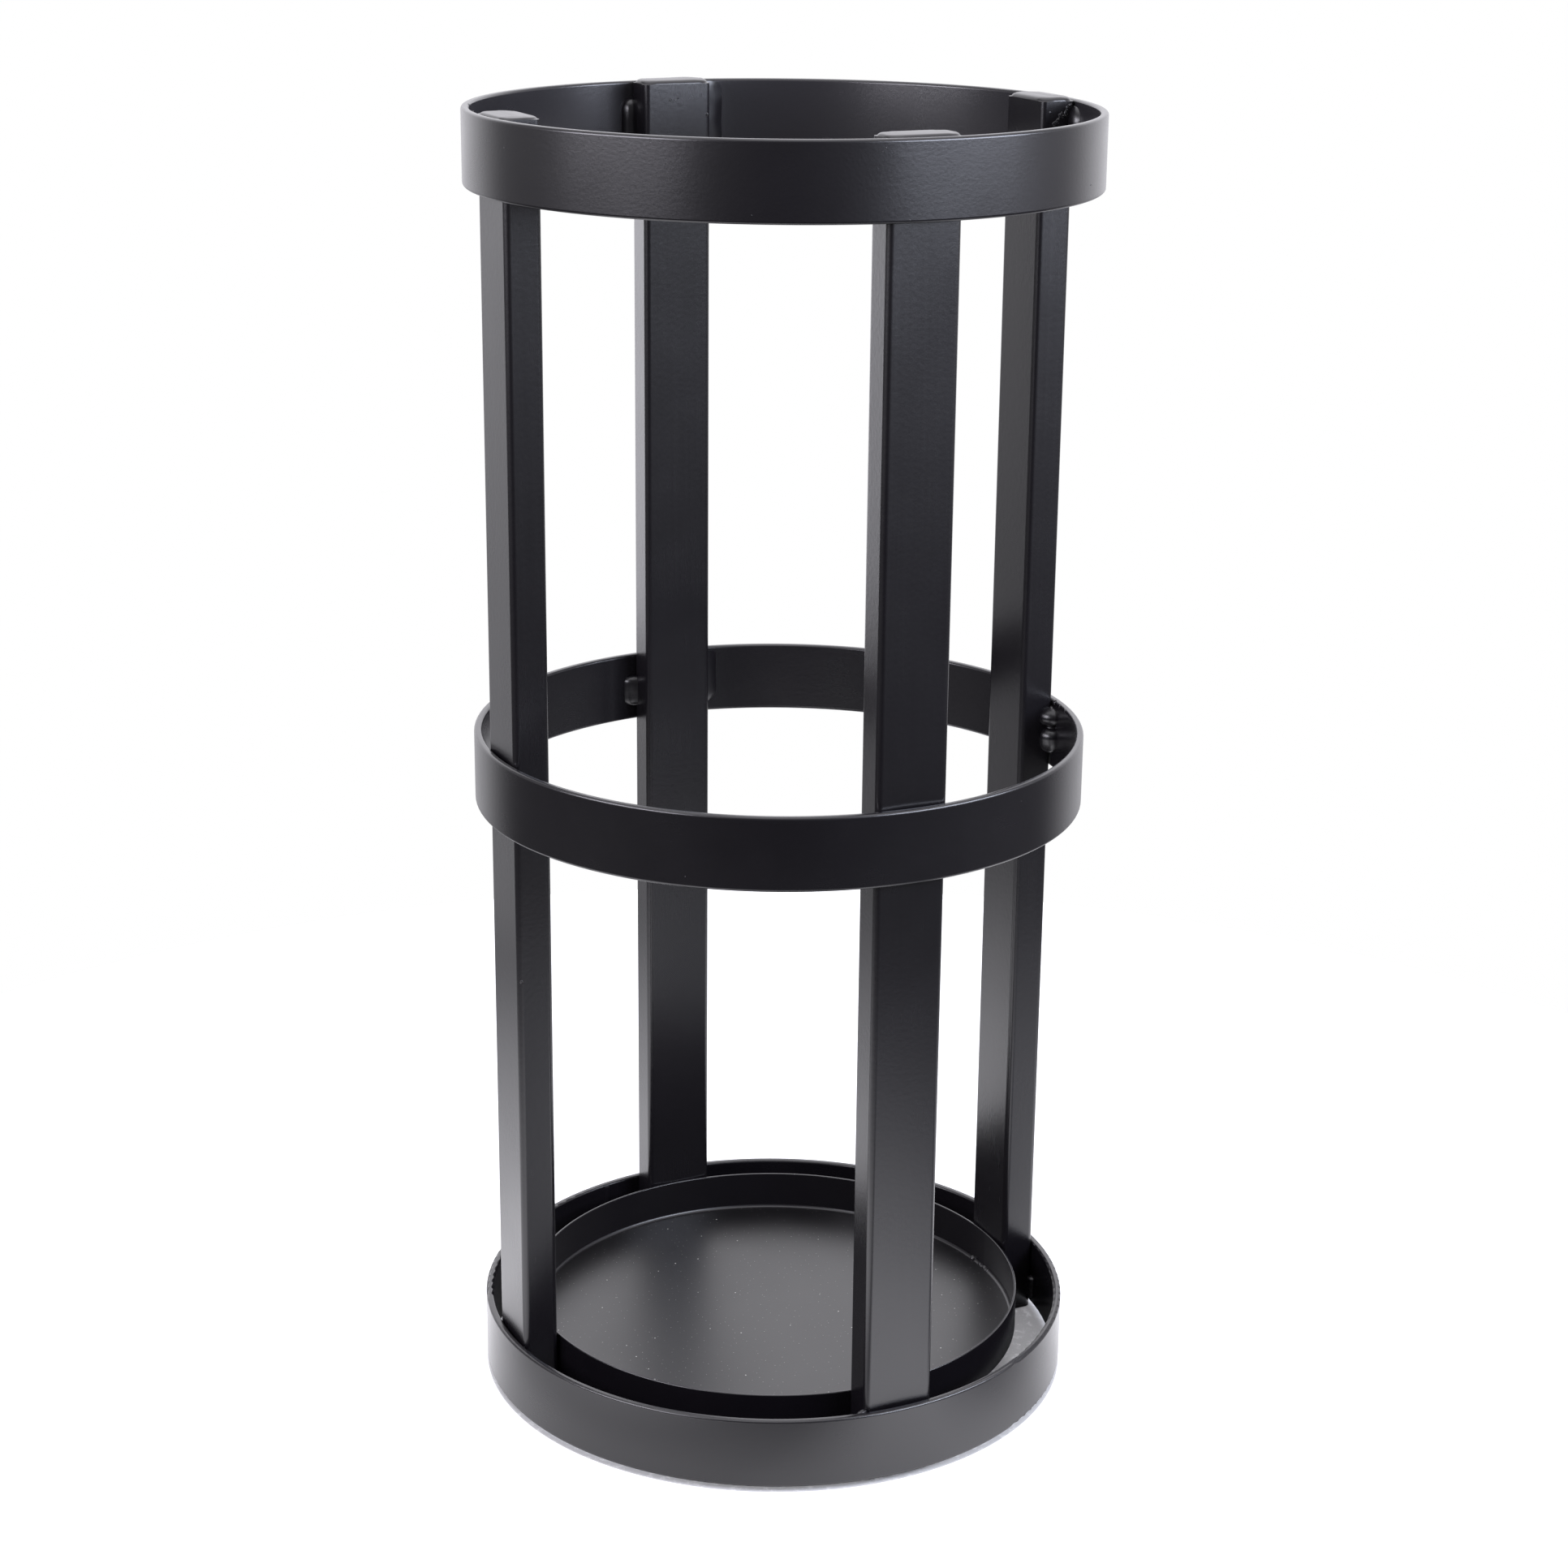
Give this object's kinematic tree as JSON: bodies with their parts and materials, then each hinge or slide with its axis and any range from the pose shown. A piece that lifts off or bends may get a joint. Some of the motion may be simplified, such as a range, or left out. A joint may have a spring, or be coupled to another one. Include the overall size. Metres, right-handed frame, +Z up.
{
  "type": "umbrella stand",
  "caption": "Round open umbrella stand of flat bar hoops welded around upright rectangular tubes, with a lift-out drip tray in the base hoop.",
  "frame": {"origin": "on the floor, at the middle of the stand", "axes": "+Z up along the uprights, +X towards the right upright, -Y towards the front upright"},
  "size_m": [0.252, 0.252, 0.54],
  "materials": {
    "coated_bar": "satin black powder coat with fine orange peel over rolled flat bar",
    "coated_tube": "satin black powder coat with fine orange peel over drawn rectangular tube",
    "coated_plate": "satin black powder coat over ground steel plate",
    "coated_weld": "satin black powder coat over rippled weld beads",
    "coated_sheet": "satin black powder coat over sheet steel, with a little dust on the floor of the tray"
  },
  "bodies": {
    "stand_frame": {"top_hoop": "coated_bar", "middle_hoop": "coated_bar", "base_hoop": "coated_bar", "base_hoop_seam_weld": "coated_weld", "upright_right": "coated_tube", "end_cap_right": "coated_plate", "foot_plate_right": "coated_plate", "tray_lug_right": "coated_plate", "weld_top_right": "coated_weld", "weld_middle_right": "coated_weld", "weld_base_right": "coated_weld", "upright_rear": "coated_tube", "end_cap_rear": "coated_plate", "foot_plate_rear": "coated_plate", "tray_lug_rear": "coated_plate", "weld_top_rear": "coated_weld", "weld_middle_rear": "coated_weld", "weld_base_rear": "coated_weld", "upright_left": "coated_tube", "end_cap_left": "coated_plate", "foot_plate_left": "coated_plate", "tray_lug_left": "coated_plate", "weld_top_left": "coated_weld", "weld_middle_left": "coated_weld", "weld_base_left": "coated_weld", "upright_front": "coated_tube", "end_cap_front": "coated_plate", "foot_plate_front": "coated_plate", "tray_lug_front": "coated_plate", "weld_top_front": "coated_weld", "weld_middle_front": "coated_weld", "weld_base_front": "coated_weld", "tray_lug_welds": "coated_weld"},
    "drip_tray": {"tray_floor": "coated_sheet", "tray_wall": "coated_sheet", "tray_seam_weld": "coated_weld"}
  },
  "joints": [
    {"name": "tray_lift", "type": "slide", "parent": "stand_frame", "child": "drip_tray", "axis": [0, 0, 1], "range_m": [0, 0.54]}
  ]
}
